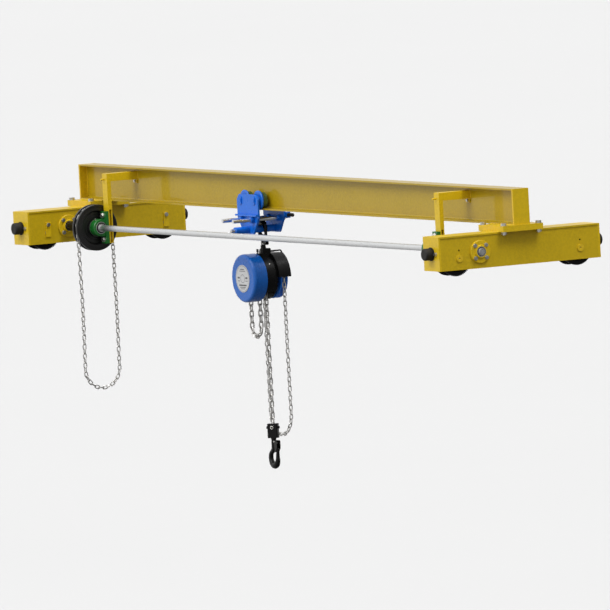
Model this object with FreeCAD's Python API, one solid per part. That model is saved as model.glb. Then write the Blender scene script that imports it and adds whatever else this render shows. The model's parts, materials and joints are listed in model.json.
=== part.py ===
"""Single-girder overhead travelling crane with a push trolley and a hand chain hoist.

Lengths are in mm. The origin is the middle of the crane at the level of the rail tops.
+X runs along the girder, +Y away from the side with the driven shaft, and +Z is up.
"""
import FreeCAD
import Part
import math
import os

V = FreeCAD.Vector
X = V(1, 0, 0)
Y = V(0, 1, 0)
Z = V(0, 0, 1)

# girder, a rolled I-section standing on the end carriages
girder_z = 218.6
girder_height = 180.0
girder_width = 91.0
girder_web = 5.3
girder_flange = 8.0
girder_root_radius = 9.0
girder_half_length = 2240.0
girder_end_plate = 12.0

# end carriages
carriage_x = 2126.0
carriage_width = 155.4
carriage_half_length = 463.7
carriage_bottom = 17.6
carriage_wall = 6.0
carriage_top = 8.0
carriage_end = 10.0
carriage_lip = 4.0
saddle_plate = 15.0
saddle_size_x = 246.0
saddle_size_y = 230.0
saddle_bolt_x = 103.0
saddle_bolt_y = 100.0
carriage_head = girder_z - 2 * saddle_plate

# travel wheels and their gear drive
wheel_y = 348.0
wheel_z = 75.0
tread_radius = 75.0
wheel_flange_radius = 88.6
wheel_flange = 12.0
wheel_width = 90.0
axle_radius = 18.0
running_gap = 0.05
gear_module = 3.0
wheel_teeth = 58
pinion_teeth = 23
shaft_z = 100.6
gear_distance = gear_module * (wheel_teeth + pinion_teeth) / 2
shaft_y = -wheel_y + math.sqrt(gear_distance ** 2 - (shaft_z - wheel_z) ** 2)
shaft_radius = 15.0

# hand drive of the long travel
bracket_places = (("left", -1711.0), ("right", 1720.0))
bracket_width = 50.0
post_depth = 22.0
post_wall = 5.0
block_height = 42.9
foot_depth = 20.0
post_front = shaft_y + block_height
post_top = girder_z + 157.0
post_bottom = girder_z - 200.0
drive_wheel_x = -1763.5
drive_pitch_radius = 100.0
hand_chain_radius = 11.0
drive_loop_drop = 726.0

# push trolley
trolley_x = -410.0
trolley_plate_face = 80.0
trolley_plate = 10.0
roller_x = 69.0
roller_z = girder_z + 49.0
roller_tread = 40.7
roller_flange = 50.0
rod_x = 54.0
rod_z = girder_z - 49.0
bar_z = girder_z - 101.0
bar_radius = 10.0
sleeve_radius = 18.0

# chain hoist
swivel_x = -411.0
hoist_x = -444.0
hoist_z = girder_z - 349.0
sheave_radius = 33.0
load_chain_radius = 13.5
frame_radius = 115.0
cover_radius = 123.0
cover_front = -110.0
frame_front = -34.0
frame_rear = 30.0
frame_plate = 8.0
hand_wheel_y = 69.0
hand_wheel_pitch = 106.0
hoist_gear_module = 2.25
hoist_gear_distance = 54.0
block_top = girder_z - 1097.0
block_bottom = girder_z - 1170.0
hook_centre_z = girder_z - 1270.5
slack_anchor_x = -570.6
slack_loop_z = girder_z - 608.0
hoist_loop_z = girder_z - 1053.5

os.makedirs("parts", exist_ok=True)
SIDES = (("left", -1), ("right", 1))


def save(name, shapes):
    """Write one sub-part, checked to be valid closed solids."""
    solids = []
    for shape in shapes:
        solids.extend(shape.Solids)
    for solid in solids:
        if not solid.isValid():
            print("NOT VALID", name)
    whole = solids[0]
    if len(solids) > 1:
        whole = Part.makeCompound(solids)
    whole.exportStep("parts/" + name + ".step")
    box_of = whole.BoundBox
    print("%-26s %2d solids %9.1f cm3  x %8.1f %8.1f  y %7.1f %7.1f  z %8.1f %8.1f" % (
        name, len(solids), sum(s.Volume for s in solids) / 1000, box_of.XMin, box_of.XMax,
        box_of.YMin, box_of.YMax, box_of.ZMin, box_of.ZMax))


def box(x0, x1, y0, y1, z0, z1):
    """A box between two corners given in any order."""
    low = V(min(x0, x1), min(y0, y1), min(z0, z1))
    return Part.makeBox(abs(x1 - x0), abs(y1 - y0), abs(z1 - z0), low)


def rod(radius, start, end):
    """A solid cylinder from one point to another."""
    run = end.sub(start)
    return Part.makeCylinder(radius, run.Length, start, run)


def tube(outer, inner, start, end):
    """A round tube from one point to another."""
    return rod(outer, start, end).cut(rod(inner, start, end))


def across(axis):
    """Two directions square to the axis, as a right-handed set."""
    side = Y.cross(axis)
    if side.Length < 0.5:
        side = X
    side.normalize()
    return side, axis.cross(side)


def prism(sides, flats, start, end, turn=0.0):
    """A regular prism of the given width across flats."""
    axis = end.sub(start)
    unit = V(axis.x, axis.y, axis.z)
    unit.normalize()
    side, up = across(unit)
    reach = flats / 2 / math.cos(math.pi / sides)
    corners = []
    for i in range(sides + 1):
        angle = turn + 2 * math.pi * i / sides
        corners.append(start + side * (reach * math.cos(angle)) + up * (reach * math.sin(angle)))
    corners[-1] = corners[0]
    return Part.Face(Part.makePolygon(corners)).extrude(axis)


def lathe(profile, centre, axis):
    """Revolve (distance along the axis, radius) pairs about an axis through the centre."""
    side, up = across(axis)
    points = [centre + axis * along + side * radius for along, radius in profile]
    points.append(points[0])
    return Part.Face(Part.makePolygon(points)).revolve(centre, axis, 360)


def torus_part(ring, thickness, centre, axis, start, angle):
    """Part of a ring of round section, swept from the start direction about the axis."""
    at = centre + start * ring
    circle = Part.Wire([Part.makeCircle(thickness, at, axis.cross(start))])
    return Part.Face(circle).revolve(centre, axis, angle)


def chain_groove(pitch, half, rim):
    """Profile of a round-bottomed groove, from the high side of the rim to the low side."""
    points = [(half, rim)]
    for step in range(13):
        angle = math.pi * step / 12
        points.append((half * math.cos(angle), pitch - half * math.sin(angle)))
    points.append((-half, rim))
    return points


def plate(points, y0, y1):
    """A plate of the given (x, z) outline between two planes square to Y."""
    corners = [V(x, y0, z) for x, z in points]
    corners.append(corners[0])
    return Part.Face(Part.makePolygon(corners)).extrude(V(0, y1 - y0, 0))


def bolt(at, out, size, grip, head_only=False, stick_out=4.0):
    """Hex bolt: head and washer outside the face at `at`, shank and nut on the other side."""
    flats = 1.6 * size
    washer = tube(size * 1.05, size / 2, at, at + out * (0.15 * size))
    head = prism(6, flats, at + out * (0.15 * size), at + out * (0.8 * size))
    pieces = washer.fuse(head)
    if head_only:
        return pieces.fuse(rod(size / 2, at - out * grip, at + out * (0.2 * size)))
    shank = rod(size / 2, at - out * (grip + 0.8 * size + stick_out), at + out * (0.2 * size))
    nut = prism(6, flats, at - out * (grip + 0.8 * size), at - out * grip)
    return pieces.fuse([shank, nut])


def inv(angle):
    """The involute function."""
    return math.tan(angle) - angle


def gear(teeth, module, addendum, dedendum, play, start, end, turn):
    """Involute gear between two points, with a tooth centred on the angle `turn`.

    The angle is measured about the gear's axis, from -Z on an X axis and from +X on a Y axis.
    """
    axis = end.sub(start)
    unit = V(axis.x, axis.y, axis.z)
    unit.normalize()
    side, up = across(unit)
    pitch = teeth * module / 2
    base = pitch * math.cos(math.radians(20))
    root = pitch - dedendum * module
    tip = pitch + addendum * module
    half = math.pi / 2 / teeth - play / 2 / pitch + inv(math.radians(20))
    low = max(base, root)
    radii = [low + (tip - low) * step for step in (0.0, 0.25, 0.6, 1.0)]
    flank = [(r, half - inv(math.acos(min(1.0, base / r)))) for r in radii]
    if root < low:
        flank.insert(0, (root, flank[0][1]))
    points = []
    for i in range(teeth):
        middle = turn + 2 * math.pi * i / teeth
        for r, angle in flank:
            points.append((r, middle - angle))
        for r, angle in reversed(flank):
            points.append((r, middle + angle))
    corners = [start + side * (r * math.cos(a)) + up * (r * math.sin(a)) for r, a in points]
    corners.append(corners[0])
    return Part.Face(Part.makePolygon(corners)).extrude(axis)


def hook(x, y, z, inner, size, reach, flip):
    """Lifting hook: bowl centre at (x, z), neck rising `reach` from it; flip -1 turns it over.

    The bowl's inside is round, with the radius `inner`, and the section is thickest under the load.
    """
    sections = ((125, 10.0), (200, 11.0), (270, 15.0), (300, 14.0), (330, 11.0), (365, 9.0))
    neck = 11.0 * size
    if flip < 0:
        neck = 10.0
    bend_top = inner + 24 * size

    def arc_station(degrees):
        """Place, heading and radius of the section at one angle round the bowl."""
        for (a0, r0), (a1, r1) in zip(sections, sections[1:]):
            if a0 <= degrees <= a1:
                radius = size * (r0 + (r1 - r0) * (degrees - a0) / (a1 - a0))
        angle = math.radians(degrees)
        out = inner + radius
        return (out * math.cos(angle), out * math.sin(angle), -math.sin(angle), math.cos(angle), radius)

    stations = [(0.0, reach, 0.0, -1.0, neck), (0.0, bend_top, 0.0, -1.0, neck)]
    first = arc_station(125)
    p0 = (0.0, bend_top)
    p1 = (0.0, bend_top - 12 * size)
    p3 = first[:2]
    p2 = (p3[0] - 12 * size * first[2], p3[1] - 12 * size * first[3])
    for step in range(1, 6):
        t = step / 6
        u = 1 - t
        px = u ** 3 * p0[0] + 3 * u * u * t * p1[0] + 3 * u * t * t * p2[0] + t ** 3 * p3[0]
        pz = u ** 3 * p0[1] + 3 * u * u * t * p1[1] + 3 * u * t * t * p2[1] + t ** 3 * p3[1]
        dx = u * u * (p1[0] - p0[0]) + 2 * u * t * (p2[0] - p1[0]) + t * t * (p3[0] - p2[0])
        dz = u * u * (p1[1] - p0[1]) + 2 * u * t * (p2[1] - p1[1]) + t * t * (p3[1] - p2[1])
        stations.append((px, pz, dx, dz, neck + (first[4] - neck) * t))
    for degrees in range(125, 360, 15):
        stations.append(arc_station(degrees))
    side = inner + 9 * size
    stations.append((side, 0.0, 0.0, 1.0, 9.0 * size))
    for dx, dz, lean, radius in ((0.6, 12.0, 0.08, 8.2), (2.2, 25.0, 0.18, 7.2), (5.5, 38.0, 0.28, 6.0)):
        stations.append((side + dx * size, dz * size, lean, 1.0, radius * size))
    rings = []
    for px, pz, dx, dz, radius in stations:
        ahead = V(dx, 0, flip * dz)
        ahead.normalize()
        turn = FreeCAD.Rotation(Y, ahead.cross(Y), ahead, "ZXY")
        ring = Part.Wire([Part.makeCircle(radius)])
        ring.Placement = FreeCAD.Placement(V(x + px, y, z + flip * pz), turn)
        rings.append(ring)
    shape = Part.makeLoft(rings, True, True)
    last = stations[-1]
    tip = Part.makeSphere(last[4] * 0.995, V(x + last[0], y, z + flip * last[1]))
    return shape.fuse(tip)


def latch(pivot, toe, size, flip):
    """Sprung safety latch: a tongue inside the hook's tip and a cheek each side of the tip."""
    reach = toe.sub(pivot)
    unit = V(reach.x, reach.y, reach.z)
    unit.normalize()
    side = Y.cross(unit)
    inner = max(7.9, 8.1 * size)
    outer = inner + 2
    start = pivot + unit * 9.0
    corners = [start - side * 1.5, toe - side * 1.5, toe + side * 1.5, start + side * 1.5]
    corners = [c - Y * outer for c in corners]
    corners.append(corners[0])
    pieces = [rod(3.0, pivot - Y * outer, pivot + Y * outer)]
    for cheek in (-1, 1):
        outline = [(-5, 4), (-2, 6), (19, 6), (23.5, 1), (23.5, -26), (13, -44), (5, -44)]
        ends = [pivot + V(dx * size, cheek * inner, flip * dz * size) for dx, dz in outline]
        ends.append(ends[0])
        pieces.append(Part.Face(Part.makePolygon(ends)).extrude(Y * (cheek * (outer - inner))))
    return Part.Face(Part.makePolygon(corners)).extrude(Y * (2 * outer)).fuse(pieces)


# ---------------------------------------------------------------- girder and its ends
half_web = girder_web / 2
half_width = girder_width / 2
flange_top = girder_z + girder_flange
upper_flange = girder_z + girder_height - girder_flange
girder_top = girder_z + girder_height
girder_end = girder_half_length - girder_end_plate
web_side = half_web + girder_root_radius
section = Part.makeBox(2 * girder_end, girder_width, girder_flange, V(-girder_end, -half_width, girder_z))
section = section.fuse(box(-girder_end, girder_end, -half_width, half_width, upper_flange, girder_top))
section = section.fuse(box(-girder_end, girder_end, -half_web, half_web, flange_top, upper_flange))
for side in (-1, 1):
    for level, up in ((flange_top, 1), (upper_flange, -1)):
        corner = box(-girder_end, girder_end, side * half_web, side * web_side, level,
                     level + up * girder_root_radius)
        centre_line = V(-girder_end, side * web_side, level + up * girder_root_radius)
        round_cut = Part.makeCylinder(girder_root_radius, 2 * girder_end, centre_line, X)
        section = section.fuse(corner.cut(round_cut))
save("main_girder", [section.removeSplitter()])
save("girder_end_plates", [box(side * girder_end, side * girder_half_length, -half_width, half_width,
                               girder_z, girder_top) for side in (-1, 1)])

# ---------------------------------------------------------------- bolted saddles on the carriages
bolt_places = [(dx, dy) for dx in (-saddle_bolt_x, saddle_bolt_x) for dy in (-saddle_bolt_y, saddle_bolt_y)]
saddle_bolts = []
for part_name, low in (("girder_foot_plates", girder_z - saddle_plate),
                       ("carriage_head_plates", carriage_head)):
    slabs = []
    for name, side in SIDES:
        x = side * carriage_x
        slab = box(x - saddle_size_x / 2, x + saddle_size_x / 2, -saddle_size_y / 2, saddle_size_y / 2,
                   low, low + saddle_plate)
        for dx, dy in bolt_places:
            slab = slab.cut(rod(8.5, V(x + dx, dy, low - 1), V(x + dx, dy, low + saddle_plate + 1)))
        slabs.append(slab)
    save(part_name, slabs)
for name, side in SIDES:
    for dx, dy in bolt_places:
        saddle_bolts.append(bolt(V(side * carriage_x + dx, dy, girder_z), Z, 16.0, 2 * saddle_plate))
save("saddle_bolts", saddle_bolts)

# ---------------------------------------------------------------- end carriages
half_box = carriage_width / 2
inner_end = carriage_half_length - carriage_end
bearing_bolt_circle = 44.5
bearing_bolt_places = [(bearing_bolt_circle * math.cos(math.radians(a)), bearing_bolt_circle * math.sin(
    math.radians(a))) for a in (45, 135, 225, 315)]
ends = []
buffers = []
carriage_bolts = []
for name, side in SIDES:
    x = side * carriage_x
    low = carriage_bottom
    wall_top = carriage_head - carriage_top
    reach = half_box + carriage_lip
    shell = box(x - reach, x + reach, -inner_end, inner_end, wall_top, carriage_head)
    for wall in (-1, 1):
        outer = x + wall * half_box
        shell = shell.fuse(box(outer, outer - wall * carriage_wall, -inner_end, inner_end, low, wall_top))
    for y in (-150.0, 210.0):
        shell = shell.fuse(box(x - half_box + carriage_wall, x + half_box - carriage_wall, y, y + 8,
                               low + 20, wall_top))
    for wheel_side in (-1, 1):
        y = wheel_side * wheel_y
        shell = shell.cut(rod(axle_radius, V(x - 100, y, wheel_z), V(x + 100, y, wheel_z)))
        shell = shell.cut(rod(5.0, V(x - 100, y, wheel_z + 40), V(x + 100, y, wheel_z + 40)))
    shell = shell.cut(rod(26.0, V(x - 100, shaft_y, shaft_z), V(x + 100, shaft_y, shaft_z)))
    for dy, dz in bearing_bolt_places:
        hole = V(x, shaft_y + dy, shaft_z + dz)
        shell = shell.cut(rod(5.0, hole - X * 100, hole + X * 100))
    save("carriage_" + name, [shell.removeSplitter()])
    for end in (-1, 1):
        face = end * carriage_half_length
        middle = (low + carriage_head) / 2
        cap = box(x - half_box, x + half_box, face, face - end * carriage_end, low, carriage_head)
        for dx in (-45.0, 45.0):
            cap = cap.cut(rod(5.0, V(x + dx, face - 20, middle), V(x + dx, face + 20, middle)))
        ends.append(cap)
        out = V(0, end, 0)
        at = V(x, face, middle)
        foot = rod(34.0, at, at + out * 5)
        pad = lathe([(0, 0), (0, 30.5), (38, 30.5), (43, 28.5), (45, 24), (45, 0)], at, out)
        buffers.append(foot.fuse(pad))
        for dx in (-45.0, 45.0):
            carriage_bolts.append(bolt(V(x + dx, face, middle), out, 10.0, 10.0, True))
save("carriage_end_plates", ends)
save("buffers", buffers)

# ---------------------------------------------------------------- wheels on fixed axles
axles = []
keepers = []
spacers = []
mesh_angle = math.atan2(shaft_z - wheel_z, shaft_y + wheel_y)
for name, side in SIDES:
    x = side * carriage_x
    for place, wheel_side in (("front", -1), ("rear", 1)):
        y = wheel_side * wheel_y
        outside = x + side * (half_box + 5)
        inside = x - side * half_box
        axle = rod(axle_radius, V(inside, y, wheel_z), V(outside, y, wheel_z))
        axle = axle.cut(Part.makeCone(5.0, 0.6, 7.0, V(outside, y, wheel_z), V(-side, 0, 0)))
        axles.append(axle)
        keeper = box(inside, inside - side * 6, y - 15, y + 15, wheel_z - 22, wheel_z + 53)
        keepers.append(keeper.cut(rod(5.0, V(x - 100, y, wheel_z + 40), V(x + 100, y, wheel_z + 40))))
        carriage_bolts.append(bolt(V(inside - side * 6, y, wheel_z + 40), V(-side, 0, 0), 10.0, 18.0, True))
        for end in (-1, 1):
            start = V(x + end * 60.5, y, wheel_z)
            wall_face = V(x + end * (half_box - carriage_wall), y, wheel_z)
            spacers.append(tube(28.0, axle_radius, start, wall_face))
        half = wheel_width / 2
        bore = axle_radius + running_gap
        profile = [(-60, bore), (-60, 30), (-half + 13, 34), (-half + 13, 62), (-half, 66)]
        profile += [(-half, wheel_flange_radius - 3), (-half + 3, wheel_flange_radius)]
        profile += [(-half + wheel_flange - 4, wheel_flange_radius), (-half + wheel_flange, tread_radius)]
        if wheel_side < 0:
            profile += [(half - wheel_flange, tread_radius), (half - wheel_flange, 79.0)]
            profile += [(half, 79.0), (half, 66), (half - 13, 62), (half - 13, 34), (60, 30), (60, bore)]
        else:
            profile += [(half - wheel_flange, tread_radius), (half - wheel_flange + 4, wheel_flange_radius)]
            profile += [(half - 3, wheel_flange_radius), (half, wheel_flange_radius - 3)]
            profile += [(half, 66), (half - 13, 62), (half - 13, 34), (60, 30), (60, bore)]
        centre = V(x, y, wheel_z)
        wheel = lathe(profile, centre, X)
        if wheel_side < 0:
            gap_turn = math.pi / 2 + mesh_angle + math.pi / wheel_teeth
            start = V(x + half - wheel_flange, y, wheel_z)
            ring = gear(wheel_teeth, gear_module, 1.0, 1.25, 0.3, start, V(x + half, y, wheel_z), gap_turn)
            ring = ring.cut(rod(70.0, start - X, start + X * 20))
            wheel = wheel.fuse(ring)
        save("travel_wheel_" + place + "_" + name, [wheel])
save("wheel_axles", axles + spacers)
save("axle_keepers", keepers)

# ---------------------------------------------------------------- driven cross shaft
shaft_half = carriage_x + half_box + 24.0
cross = rod(shaft_radius, V(-shaft_half, shaft_y, shaft_z), V(shaft_half, shaft_y, shaft_z))
for side in (-1, 1):
    cross = cross.cut(Part.makeCone(4.5, 0.6, 7.0, V(side * shaft_half, shaft_y, shaft_z), V(-side, 0, 0)))
save("cross_shaft", [cross])
pinions = []
for name, side in SIDES:
    x = side * carriage_x + wheel_width / 2 - wheel_flange / 2
    centre = V(x, shaft_y, shaft_z)
    tooth_turn = mesh_angle - math.pi / 2
    pinion = gear(pinion_teeth, gear_module, 1.0, 1.25, 0.3, centre - X * 8, centre + X * 8, tooth_turn)
    hub = rod(24.0, centre - X * 8, centre - X * 24)
    pinions.append(pinion.fuse(hub).cut(rod(shaft_radius, centre - X * 40, centre + X * 40)))
save("drive_pinions", pinions)
sleeve_start = -carriage_x + half_box + 30
sleeve_end = sleeve_start + 120.0
sleeve = tube(25.0, shaft_radius, V(sleeve_start, shaft_y, shaft_z), V(sleeve_end, shaft_y, shaft_z))
for along in (22.0, 98.0):
    sleeve = sleeve.cut(rod(4.0, V(sleeve_start + along, shaft_y - 30, shaft_z),
                            V(sleeve_start + along, shaft_y - 21, shaft_z)))
save("shaft_coupling", [sleeve])

# hand chain wheel of the long travel, grooved for the chain with a dished web
wheel_centre = V(drive_wheel_x, shaft_y, shaft_z)
groove_half = hand_chain_radius + 0.8
profile = [(-38, shaft_radius), (-38, 28), (-8, 34), (-8, 80), (-25.5, 86), (-25.5, 117), (-23.5, 119)]
profile += list(reversed(chain_groove(drive_pitch_radius, groove_half, 119)))
profile += [(23.5, 119), (25.5, 117), (25.5, 108), (22, 106), (22, 88), (8, 80), (8, 63), (11, 61), (11, 56)]
profile += [(8, 54), (8, 40), (19, 32), (19, shaft_radius)]
save("drive_chain_wheel", [lathe(profile, wheel_centre, X)])

# ---------------------------------------------------------------- flange bearings of the shaft
flanges = []
races = []
seals = []
for side in (-1, 1):
    for wall in (-1, 1):
        face = V(side * carriage_x + wall * half_box, shaft_y, shaft_z)
        out = V(wall, 0, 0)
        outline = [(0, 26), (0, 57.5), (7, 57.5), (9, 55.5), (9, 33.5), (17, 30.5), (17, 26)]
        flange = lathe(outline, face, out)
        for dy, dz in bearing_bolt_places:
            hole = face + Y * dy + Z * dz
            flange = flange.cut(rod(5.0, hole - out, hole + out * 12))
            carriage_bolts.append(bolt(hole + out * 9, out, 10.0, 15.0, True))
        flanges.append(flange)
        races.append(tube(26.0, 23.0, face, face + out * 16))
        races.append(tube(19.5, shaft_radius + running_gap, face, face + out * 19))
        seals.append(tube(23.0, 19.5, face + out, face + out * 14))
save("flange_bearings", flanges)
save("carriage_bolts", carriage_bolts)

# ---------------------------------------------------------------- brackets and pillow blocks
bracket_bolts = []
brackets = []
pillow_blocks = []
for name, x in bracket_places:
    half = bracket_width / 2
    post = box(x - half, x + half, post_front, post_front + post_depth, post_bottom, post_top)
    arm = box(x - half, x + half, post_front + post_depth, -half_web, post_top - 40, post_top)
    stub_z = post_top - 30
    stub = rod(4.5, V(x - 8, post_front - 19, stub_z), V(x - 8, post_front, stub_z))
    pad = box(x - 20, x + 20, -half_web - 6, -half_web, post_top - 62, post_top - 40)
    pad = pad.cut(rod(4.0, V(x, -half_web, post_top - 51), V(x, -half_web - 6, post_top - 51)))
    pocket = box(x - half + post_wall, x + half + 1, post_front + post_wall,
                 post_front + post_depth - post_wall, post_bottom + 3, shaft_z + 90)
    bracket = post.fuse([arm, stub, pad]).cut(pocket)
    for dz in (-62.0, 62.0):
        bracket = bracket.cut(rod(7.5, V(x, post_front - 1, shaft_z + dz),
                                  V(x, post_front + post_wall + 1, shaft_z + dz)))
    brackets.append(bracket.removeSplitter())
    bracket_bolts.append(bolt(V(x, -half_web - 6, post_top - 51), V(0, -1, 0), 8.0, 6.0, True))
    foot = box(x - 24, x + 24, post_front, post_front - foot_depth, shaft_z - 82.5, shaft_z + 82.5)
    body = lathe([(-26, 0), (-26, 43), (-25, 44), (15, 44), (19, 42), (19, 0)], V(x, shaft_y, shaft_z), X)
    neck = box(x - 17, x + 17, post_front - 10, shaft_y, shaft_z - 44, shaft_z + 44)
    housing = foot.fuse([body, neck])
    housing = housing.common(box(x - 30, x + 30, post_front, post_front - 120, shaft_z - 90, shaft_z + 90))
    housing = housing.cut(rod(31.0, V(x - 40, shaft_y, shaft_z), V(x + 40, shaft_y, shaft_z)))
    for dz in (-62.0, 62.0):
        housing = housing.cut(rod(7.5, V(x, post_front + 1, shaft_z + dz),
                                  V(x, post_front - 30, shaft_z + dz)))
        at = V(x, post_front - foot_depth, shaft_z + dz)
        bracket_bolts.append(bolt(at, V(0, -1, 0), 14.0, foot_depth + post_wall, False, 0.5))
    pillow_blocks.append(housing.removeSplitter())
    centre = V(x, shaft_y, shaft_z)
    races.append(tube(31.0, 27.5, centre - X * 17, centre + X * 17))
    races.append(tube(21.0, shaft_radius + running_gap, centre - X * 20, centre + X * 22))
    seals.append(tube(27.5, 21.0, centre - X * 14, centre + X * 14))
save("shaft_brackets", brackets)
save("pillow_blocks", pillow_blocks)
save("bracket_bolts", bracket_bolts)
save("bearing_races", races)
save("bearing_seals", seals)

# ---------------------------------------------------------------- hand chain of the long travel
loop_low = shaft_z - drive_loop_drop
loop_centre = V(drive_wheel_x, shaft_y, loop_low)
runs = []
for side in (-1, 1):
    y = shaft_y + side * drive_pitch_radius
    runs.append(rod(hand_chain_radius, V(drive_wheel_x, y, loop_low), V(drive_wheel_x, y, shaft_z)))
bend = torus_part(drive_pitch_radius, hand_chain_radius, loop_centre, X, V(0, -1, 0), 180)
over_wheel = torus_part(drive_pitch_radius, hand_chain_radius, wheel_centre, X, Y, 180)
save("drive_hand_chain", [runs[0].fuse([runs[1], bend, over_wheel])])
print("drive chain radius", drive_pitch_radius)

# ---------------------------------------------------------------- push trolley
for name, side in (("front", -1), ("rear", 1)):
    face = side * trolley_plate_face
    back = side * (trolley_plate_face - trolley_plate)
    top = girder_z + 80
    low = girder_z - 122
    outline = [(-107, -38), (-107, 55), (-82, 80), (82, 80), (107, 55), (107, -38), (62, -108), (50, -122),
               (-50, -122), (-62, -108)]
    side_plate = plate([(trolley_x + dx, girder_z + dz) for dx, dz in outline], face, back)
    lip = box(trolley_x - 107, trolley_x + 107, face, face + side * 15, girder_z - 30, girder_z - 22)
    side_plate = side_plate.fuse(lip)
    for dx in (-roller_x, roller_x):
        centre = V(trolley_x + dx, face, roller_z)
        slab = box(centre.x - 13, centre.x + 13, face, face + side * 5, roller_z - 9, roller_z + 9)
        boss = slab.fuse([rod(13, centre + Z * 9, centre + Z * 9 + V(0, side * 5, 0)),
                          rod(13, centre - Z * 9, centre - Z * 9 + V(0, side * 5, 0))])
        side_plate = side_plate.fuse(boss)
    for dx, z, radius in ((-roller_x, roller_z, 10.0), (roller_x, roller_z, 10.0), (-rod_x, rod_z, 10.0),
                          (rod_x, rod_z, 10.0), (0, bar_z, bar_radius)):
        side_plate = side_plate.cut(rod(radius, V(trolley_x + dx, face + side * 20, z),
                                        V(trolley_x + dx, back - side * 20, z)))
    if side > 0:
        stop_block = box(trolley_x + 80, trolley_x + 112, face, face + 25, girder_z - 50, girder_z - 20)
        side_plate = side_plate.fuse(stop_block)
    save("trolley_side_plate_" + name, [side_plate.removeSplitter()])

stop_at = V(trolley_x + 112, trolley_plate_face + 13, girder_z - 34)
save("trolley_stop_buffer", [lathe([(0, 0), (0, 9.5), (46, 9.5), (50, 7), (50, 0)], stop_at, X)])

pins = []
for name, side in (("front", -1), ("rear", 1)):
    for place, dx in (("left", -roller_x), ("right", roller_x)):
        x = trolley_x + dx
        pin = rod(10.0, V(x, side * 16.5, roller_z), V(x, side * 87, roller_z))
        pin = pin.fuse(rod(15.0, V(x, side * 61.5, roller_z), V(x, side * 70, roller_z)))
        pins.append(pin.fuse(rod(14.0, V(x, side * 14.5, roller_z), V(x, side * 18, roller_z))))
        out = V(0, side, 0)
        outline = [(19, 10.05), (19, 38), (21, roller_tread), (46.8, roller_tread), (47.3, 48)]
        outline += [(49, roller_flange), (55, roller_flange), (58, 46), (58, 24), (60.8, 22), (60.8, 10.05)]
        save("trolley_roller_" + name + "_" + place, [lathe(outline, V(x, 0, roller_z), out)])
save("roller_pins", pins)

rods = []
for dx in (-rod_x, rod_x):
    x = trolley_x + dx
    pieces = []
    for side in (-1, 1):
        pieces.append(prism(6, 30.0, V(x, side * 52, rod_z), V(x, side * 67, rod_z)))
        pieces.append(rod(18.0, V(x, side * 67, rod_z), V(x, side * 70, rod_z)))
        pieces.append(rod(16.5, V(x, side * 80, rod_z), V(x, side * 83, rod_z)))
        pieces.append(prism(6, 30.0, V(x, side * 83, rod_z), V(x, side * 98, rod_z)))
    rods.append(rod(10.0, V(x, -200, rod_z), V(x, 104, rod_z)).fuse(pieces))
save("trolley_spacer_rods", rods)
load_bar = rod(bar_radius, V(trolley_x, -183, bar_z), V(trolley_x, 106, bar_z))
save("load_bar", [load_bar])
sleeves = []
for y0, y1 in ((-161, -trolley_plate_face), (-70, 70), (trolley_plate_face, 96)):
    sleeves.append(tube(sleeve_radius, bar_radius, V(trolley_x, y0, bar_z), V(trolley_x, y1, bar_z)))
save("load_bar_sleeves", sleeves)

# ---------------------------------------------------------------- top hook of the hoist
top_bowl = 23.5
top_neck = 93.5
top_hook_z = bar_z + sleeve_radius + 0.9 - top_bowl
crosshead_top = girder_z - 226
crosshead_low = girder_z - 262
swivel_head = girder_z - 202
suspension = hook(swivel_x, 0, top_hook_z, top_bowl, 1.0, top_neck, -1)
shank = rod(10.0, V(swivel_x, 0, top_hook_z - top_neck), V(swivel_x, 0, crosshead_low - 14))
collar = rod(14.0, V(swivel_x, 0, swivel_head + 0.5), V(swivel_x, 0, swivel_head + 6))
shoulder = lathe([(0, 0), (0, 9.5), (3, 13.5), (11, 13.5), (15, 10), (15, 0)],
                 V(swivel_x, 0, top_hook_z - top_neck), Z)
shank_nut = rod(16.0, V(swivel_x, 0, crosshead_low - 0.5), V(swivel_x, 0, crosshead_low - 12))
top_pivot = V(swivel_x + 17, 0, top_hook_z - 72)
ear = rod(7.0, top_pivot - Y * 6, top_pivot + Y * 6)
ear = ear.fuse(box(swivel_x + 2, top_pivot.x, -6, 6, top_pivot.z - 7, top_pivot.z + 7))
suspension = suspension.fuse([shank, collar, shank_nut, shoulder, ear])
suspension = suspension.cut(rod(3.05, top_pivot - Y * 20, top_pivot + Y * 20))
save("top_hook", [suspension])

save("top_hook_latch", [latch(top_pivot, V(swivel_x + 24.6, 0, top_hook_z - 24), 1.0, -1)])

# ---------------------------------------------------------------- hoist frame
axis_point = V(hoist_x, 0, hoist_z)


def frame_side(y0, y1):
    """One side plate of the hoist: a disc with the crosshead tab and the slack-end lug."""
    disc = rod(frame_radius, V(hoist_x, y0, hoist_z), V(hoist_x, y1, hoist_z))
    tab = box(swivel_x - 18, swivel_x + 18, y0, y1, hoist_z + 60, crosshead_top)
    lug = box(slack_anchor_x - 14, hoist_x, y0, y1, hoist_z - 14, hoist_z + 14)
    return disc.fuse([tab, lug]).removeSplitter()


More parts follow.
